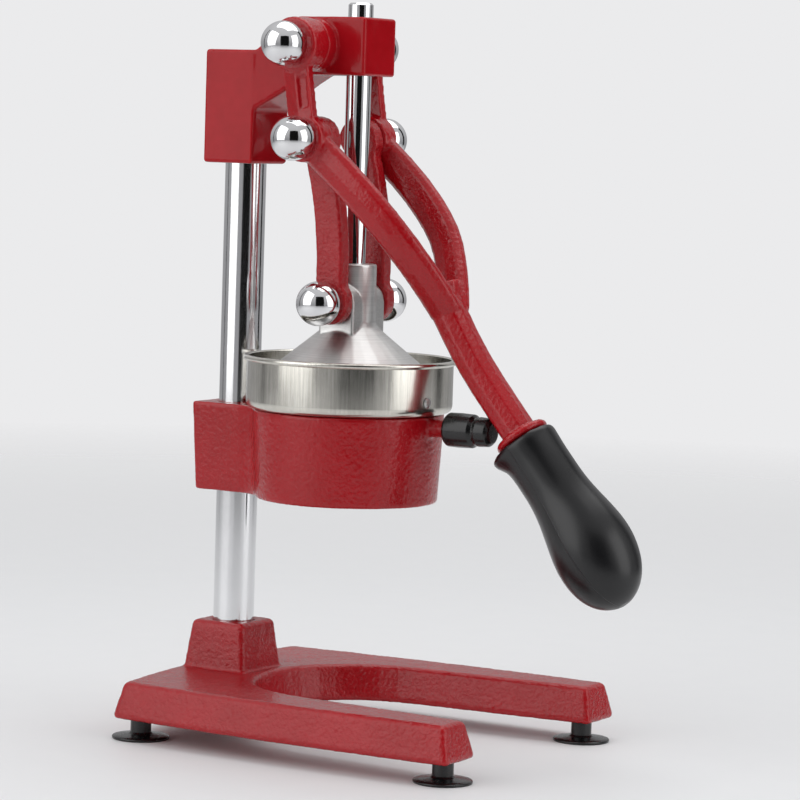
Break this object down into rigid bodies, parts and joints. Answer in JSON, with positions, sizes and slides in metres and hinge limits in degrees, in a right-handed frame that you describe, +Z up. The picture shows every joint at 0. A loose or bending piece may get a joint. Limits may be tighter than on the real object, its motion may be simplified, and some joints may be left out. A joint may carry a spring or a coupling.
{
  "type": "lever citrus press",
  "caption": "Cast stand with a column, a lever-driven press cone over a round juice bowl, and a forked lever with a black grip.",
  "frame": {"origin": "on the floor, below the middle of the whole press", "axes": "+X towards the handle and the operator, +Y across the press to the operator's right, +Z up along the column"},
  "size_m": [0.3064, 0.2114, 0.442],
  "materials": {
    "red_enamel": "glossy deep-red enamel over a pebbled iron casting",
    "chrome": "mirror-bright chrome plate",
    "steel": "plain zinc-plated steel",
    "brushed_stainless": "brushed stainless sheet, warm tone, vertical grain",
    "cast_aluminium": "satin cast and turned aluminium",
    "black_rubber": "glossy black rubber",
    "black_grip": "satin black moulded plastic"
  },
  "bodies": {
    "stand": {"base_casting": "red_enamel", "foot_front_left": "black_rubber", "foot_front_right": "black_rubber", "foot_rear_left": "black_rubber", "foot_rear_right": "black_rubber", "foot_screw_front_left": "steel", "foot_screw_front_right": "steel", "foot_screw_rear_left": "steel", "foot_screw_rear_right": "steel", "column": "chrome", "column_washer": "steel", "column_bolt": "steel", "head_casting": "red_enamel", "head_set_screw": "steel", "upper_pivot_shaft": "steel", "ball_nut_upper_left": "chrome", "ball_nut_upper_right": "chrome", "tray_casting": "red_enamel", "tray_set_screw": "steel", "stop_bumper": "black_rubber", "juice_bowl": "brushed_stainless", "bowl_rivet_front": "brushed_stainless", "bowl_rivet_rear": "brushed_stainless", "strainer_plate": "brushed_stainless", "reamer_cone": "cast_aluminium", "reamer_screw": "steel", "juice_funnel": "brushed_stainless"},
    "lever": {"lever_casting": "red_enamel", "lever_grip": "black_grip", "middle_pin_left": "steel", "middle_pin_right": "steel", "ball_nut_middle_left": "chrome", "ball_nut_middle_right": "chrome"},
    "links": {"link_left": "red_enamel", "link_right": "red_enamel", "link_stud_left": "steel", "link_stud_right": "steel"},
    "ram": {"press_cone": "cast_aluminium", "press_rod": "chrome", "cross_pin": "steel", "ball_nut_lower_left": "chrome", "ball_nut_lower_right": "chrome"}
  },
  "joints": [
    {"name": "lever_swing", "type": "hinge", "parent": "stand", "child": "lever", "pos_m": [-0.06471, 0, 0.416], "axis": [0, -1, 0], "range_deg": [0, 115]},
    {"name": "ram_slide", "type": "slide", "parent": "stand", "child": "ram", "axis": [0, 0, 1], "range_m": [0, 0.08899]},
    {"name": "link_swing", "type": "hinge", "parent": "ram", "child": "links", "pos_m": [-0.04461, 0, 0.2638], "axis": [0, -1, 0], "range_deg": [-22.89, 0]}
  ],
  "couplings": [
    {"joint": "ram_slide", "follows": "lever_swing", "m_per_rad": 0.044239},
    {"joint": "link_swing", "follows": "lever_swing", "ratio": -0.19815}
  ]
}
